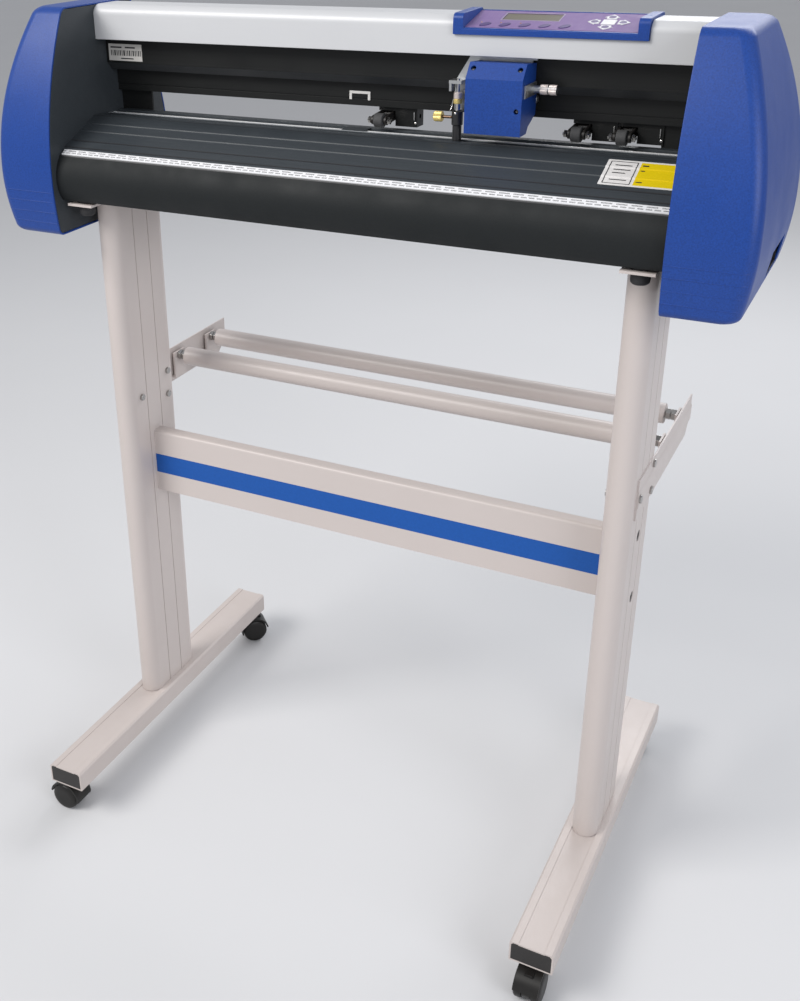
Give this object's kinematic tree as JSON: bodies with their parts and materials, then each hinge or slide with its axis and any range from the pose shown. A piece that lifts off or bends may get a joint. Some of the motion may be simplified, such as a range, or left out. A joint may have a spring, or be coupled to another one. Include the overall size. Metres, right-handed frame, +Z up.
{
  "type": "vinyl cutter",
  "caption": "Vinyl cutter on a wheeled stand: blue end caps, white cover with keypad, grooved platen, pinch wheels and a sliding blade carriage over a feed shaft, with media rollers behind.",
  "frame": {"origin": "on the floor, under the middle of the stand", "axes": "+Z up, +X along the machine to the operator's right, -Y towards the operator"},
  "size_m": [0.8998, 0.5404, 1.061],
  "materials": {
    "white_paint": "white powder coat, satin",
    "cover_white": "white gloss enamel",
    "black_plastic": "moulded, matt",
    "black_rubber": "matt",
    "grey_rubber": "matt, fine tread",
    "caster_grey": "smooth moulded",
    "stripe_blue": "adhesive film",
    "bright_steel": "zinc-plated and ground",
    "blue_plastic": "fine spark texture, semi-matt",
    "dark_coated": "charcoal coating, satin",
    "black_anodised": "black anodised",
    "ruler_white": "printed film",
    "keypad_purple": "membrane overlay, fine texture",
    "key_violet": "embossed membrane",
    "key_white": "embossed membrane",
    "lcd_glass": "display window, unlit",
    "circuit_green": "circuit board",
    "brass_metal": "turned",
    "grey_plate": "bead-blasted",
    "rocker_red": "smooth moulded"
  },
  "bodies": {
    "frame": {"foot_bars": "white_paint", "foot_end_caps": "black_plastic", "uprights": "white_paint", "stretcher_bar": "white_paint", "stretcher_stripe": "stripe_blue", "stand_bolts": "bright_steel", "mount_plates": "white_paint", "rubber_mounts": "black_rubber", "roll_brackets": "white_paint", "left_end_cap": "blue_plastic", "right_end_cap": "blue_plastic", "side_plates": "dark_coated", "platen": "dark_coated", "front_apron": "dark_coated", "ruler_strip": "ruler_white", "rail_beam": "black_anodised", "top_cover": "cover_white", "rear_cover": "dark_coated", "panel_bezel": "blue_plastic", "keypad": "keypad_purple", "lcd_window": "lcd_glass", "motors": "black_anodised", "control_board": "circuit_green", "power_inlet": "black_plastic", "drive_belts": "black_rubber"},
    "front_roll": {"front_roller": "white_paint"},
    "rear_roll": {"rear_roller": "white_paint"},
    "caster_1": {"caster_fork_1": "black_plastic"},
    "caster_wheel_pair_1": {"caster_wheels_1": "caster_grey"},
    "caster_2": {"caster_fork_2": "black_plastic"},
    "caster_wheel_pair_2": {"caster_wheels_2": "caster_grey"},
    "caster_3": {"caster_fork_3": "black_plastic"},
    "caster_wheel_pair_3": {"caster_wheels_3": "caster_grey"},
    "caster_4": {"caster_fork_4": "black_plastic"},
    "caster_wheel_pair_4": {"caster_wheels_4": "caster_grey"},
    "feed_shaft": {"grit_shaft": "bright_steel"},
    "feed_pinion": {"feed_motor_pulley": "brass_metal"},
    "carriage": {"carriage_plate": "grey_plate", "carriage_cover": "blue_plastic"},
    "pen": {"pen_holder": "black_plastic"},
    "knob": {"clamp_knob": "brass_metal"},
    "belt_drive_pulley": {"x_motor_pulley": "brass_metal"},
    "belt_idler_pulley": {"x_idler_pulley": "bright_steel"},
    "pinch_lever_1": {"pinch_arm_1": "black_anodised"},
    "pinch_roll_1": {"pinch_wheel_1": "grey_rubber"},
    "pinch_lever_2": {"pinch_arm_2": "black_anodised"},
    "pinch_roll_2": {"pinch_wheel_2": "grey_rubber"},
    "pinch_lever_3": {"pinch_arm_3": "black_anodised"},
    "pinch_roll_3": {"pinch_wheel_3": "grey_rubber"},
    "oval_key_1_cap": {"oval_key_1": "key_violet"},
    "oval_key_2_cap": {"oval_key_2": "key_violet"},
    "oval_key_3_cap": {"oval_key_3": "key_violet"},
    "oval_key_4_cap": {"oval_key_4": "key_violet"},
    "oval_key_5_cap": {"oval_key_5": "key_violet"},
    "arrow_key_up_cap": {"arrow_key_up": "key_white"},
    "arrow_key_down_cap": {"arrow_key_down": "key_white"},
    "arrow_key_left_cap": {"arrow_key_left": "key_white"},
    "arrow_key_right_cap": {"arrow_key_right": "key_white"},
    "move_key_cap": {"move_key": "key_white"},
    "rocker": {"rocker_switch": "rocker_red"}
  },
  "joints": [
    {"name": "front_roller_spin", "type": "hinge", "parent": "frame", "child": "front_roll", "pos_m": [0, 0.106, 0.57], "axis": [1, 0, 0], "continuous": true},
    {"name": "rear_roller_spin", "type": "hinge", "parent": "frame", "child": "rear_roll", "pos_m": [0, 0.1915, 0.57], "axis": [1, 0, 0], "continuous": true},
    {"name": "caster_swivel_1", "type": "hinge", "parent": "frame", "child": "caster_1", "pos_m": [-0.335, -0.232, 0.06], "axis": [0, 0, 1], "continuous": true},
    {"name": "caster_roll_1", "type": "hinge", "parent": "caster_1", "child": "caster_wheel_pair_1", "pos_m": [-0.35, -0.232, 0.02], "axis": [0, -1, 0], "continuous": true},
    {"name": "caster_swivel_2", "type": "hinge", "parent": "frame", "child": "caster_2", "pos_m": [0.335, -0.232, 0.06], "axis": [0, 0, 1], "continuous": true},
    {"name": "caster_roll_2", "type": "hinge", "parent": "caster_2", "child": "caster_wheel_pair_2", "pos_m": [0.335, -0.247, 0.02], "axis": [1, 0, 0], "continuous": true},
    {"name": "caster_swivel_3", "type": "hinge", "parent": "frame", "child": "caster_3", "pos_m": [-0.335, 0.232, 0.06], "axis": [0, 0, 1], "continuous": true},
    {"name": "caster_roll_3", "type": "hinge", "parent": "caster_3", "child": "caster_wheel_pair_3", "pos_m": [-0.32439, 0.24261, 0.02], "axis": [-0.7071, 0.7071, 0], "continuous": true},
    {"name": "caster_swivel_4", "type": "hinge", "parent": "frame", "child": "caster_4", "pos_m": [0.335, 0.232, 0.06], "axis": [0, 0, 1], "continuous": true},
    {"name": "caster_roll_4", "type": "hinge", "parent": "caster_4", "child": "caster_wheel_pair_4", "pos_m": [0.335, 0.247, 0.02], "axis": [-1, 0, 0], "continuous": true},
    {"name": "feed_shaft_spin", "type": "hinge", "parent": "frame", "child": "feed_shaft", "pos_m": [0, 0.028, 0.9184], "axis": [1, 0, 0], "continuous": true},
    {"name": "feed_pinion_spin", "type": "hinge", "parent": "frame", "child": "feed_pinion", "pos_m": [0.404, 0.085, 0.882], "axis": [1, 0, 0], "continuous": true},
    {"name": "carriage_slide", "type": "slide", "parent": "frame", "child": "carriage", "axis": [1, 0, 0], "range_m": [-0.44, 0.146]},
    {"name": "pen_lift", "type": "slide", "parent": "carriage", "child": "pen", "axis": [0, 0, 1], "range_m": [0, 0.004]},
    {"name": "clamp_turn", "type": "hinge", "parent": "pen", "child": "knob", "pos_m": [0.092, 0.008, 0.9522], "axis": [1, 0, 0], "range_deg": [-360, 0]},
    {"name": "belt_drive_spin", "type": "hinge", "parent": "frame", "child": "belt_drive_pulley", "pos_m": [-0.392, 0.029, 1.034], "axis": [0, 1, 0], "continuous": true},
    {"name": "belt_idler_spin", "type": "hinge", "parent": "frame", "child": "belt_idler_pulley", "pos_m": [0.392, 0.029, 1.034], "axis": [0, 1, 0], "continuous": true},
    {"name": "pinch_lift_1", "type": "hinge", "parent": "frame", "child": "pinch_lever_1", "pos_m": [0.008, 0.055, 0.942], "axis": [-1, 0, 0], "range_deg": [-10, 0]},
    {"name": "pinch_spin_1", "type": "hinge", "parent": "pinch_lever_1", "child": "pinch_roll_1", "pos_m": [0.008, 0.02714, 0.9395], "axis": [1, 0, 0], "continuous": true},
    {"name": "pinch_lift_2", "type": "hinge", "parent": "frame", "child": "pinch_lever_2", "pos_m": [0.236, 0.055, 0.942], "axis": [-1, 0, 0], "range_deg": [-10, 0]},
    {"name": "pinch_spin_2", "type": "hinge", "parent": "pinch_lever_2", "child": "pinch_roll_2", "pos_m": [0.236, 0.02714, 0.9395], "axis": [1, 0, 0], "continuous": true},
    {"name": "pinch_lift_3", "type": "hinge", "parent": "frame", "child": "pinch_lever_3", "pos_m": [0.284, 0.055, 0.942], "axis": [-1, 0, 0], "range_deg": [-10, 0]},
    {"name": "pinch_spin_3", "type": "hinge", "parent": "pinch_lever_3", "child": "pinch_roll_3", "pos_m": [0.284, 0.02714, 0.9395], "axis": [1, 0, 0], "continuous": true},
    {"name": "oval_key_1_press", "type": "slide", "parent": "frame", "child": "oval_key_1_cap", "axis": [0, -0.2284, 0.9736], "range_m": [-0.0005, 0], "stiffness_N_per_m": 300, "springref_m": 0.0005},
    {"name": "oval_key_2_press", "type": "slide", "parent": "frame", "child": "oval_key_2_cap", "axis": [0, -0.2284, 0.9736], "range_m": [-0.0005, 0], "stiffness_N_per_m": 300, "springref_m": 0.0005},
    {"name": "oval_key_3_press", "type": "slide", "parent": "frame", "child": "oval_key_3_cap", "axis": [0, -0.2284, 0.9736], "range_m": [-0.0005, 0], "stiffness_N_per_m": 300, "springref_m": 0.0005},
    {"name": "oval_key_4_press", "type": "slide", "parent": "frame", "child": "oval_key_4_cap", "axis": [0, -0.2284, 0.9736], "range_m": [-0.0005, 0], "stiffness_N_per_m": 300, "springref_m": 0.0005},
    {"name": "oval_key_5_press", "type": "slide", "parent": "frame", "child": "oval_key_5_cap", "axis": [0, -0.2284, 0.9736], "range_m": [-0.0005, 0], "stiffness_N_per_m": 300, "springref_m": 0.0005},
    {"name": "arrow_key_up_press", "type": "slide", "parent": "frame", "child": "arrow_key_up_cap", "axis": [0, -0.2284, 0.9736], "range_m": [-0.0005, 0], "stiffness_N_per_m": 300, "springref_m": 0.0005},
    {"name": "arrow_key_down_press", "type": "slide", "parent": "frame", "child": "arrow_key_down_cap", "axis": [0, -0.2284, 0.9736], "range_m": [-0.0005, 0], "stiffness_N_per_m": 300, "springref_m": 0.0005},
    {"name": "arrow_key_left_press", "type": "slide", "parent": "frame", "child": "arrow_key_left_cap", "axis": [0, -0.2284, 0.9736], "range_m": [-0.0005, 0], "stiffness_N_per_m": 300, "springref_m": 0.0005},
    {"name": "arrow_key_right_press", "type": "slide", "parent": "frame", "child": "arrow_key_right_cap", "axis": [0, -0.2284, 0.9736], "range_m": [-0.0005, 0], "stiffness_N_per_m": 300, "springref_m": 0.0005},
    {"name": "move_key_press", "type": "slide", "parent": "frame", "child": "move_key_cap", "axis": [0, -0.2284, 0.9736], "range_m": [-0.0005, 0], "stiffness_N_per_m": 300, "springref_m": 0.0005},
    {"name": "rocker_tilt", "type": "hinge", "parent": "frame", "child": "rocker", "pos_m": [0.431, 0.044, 0.822], "axis": [0, 0, 1], "range_deg": [0, 14]}
  ],
  "couplings": [
    {"joint": "feed_pinion_spin", "follows": "feed_shaft_spin", "ratio": 2},
    {"joint": "belt_drive_spin", "follows": "carriage_slide", "rad_per_m": -100},
    {"joint": "belt_idler_spin", "follows": "carriage_slide", "rad_per_m": -100}
  ]
}
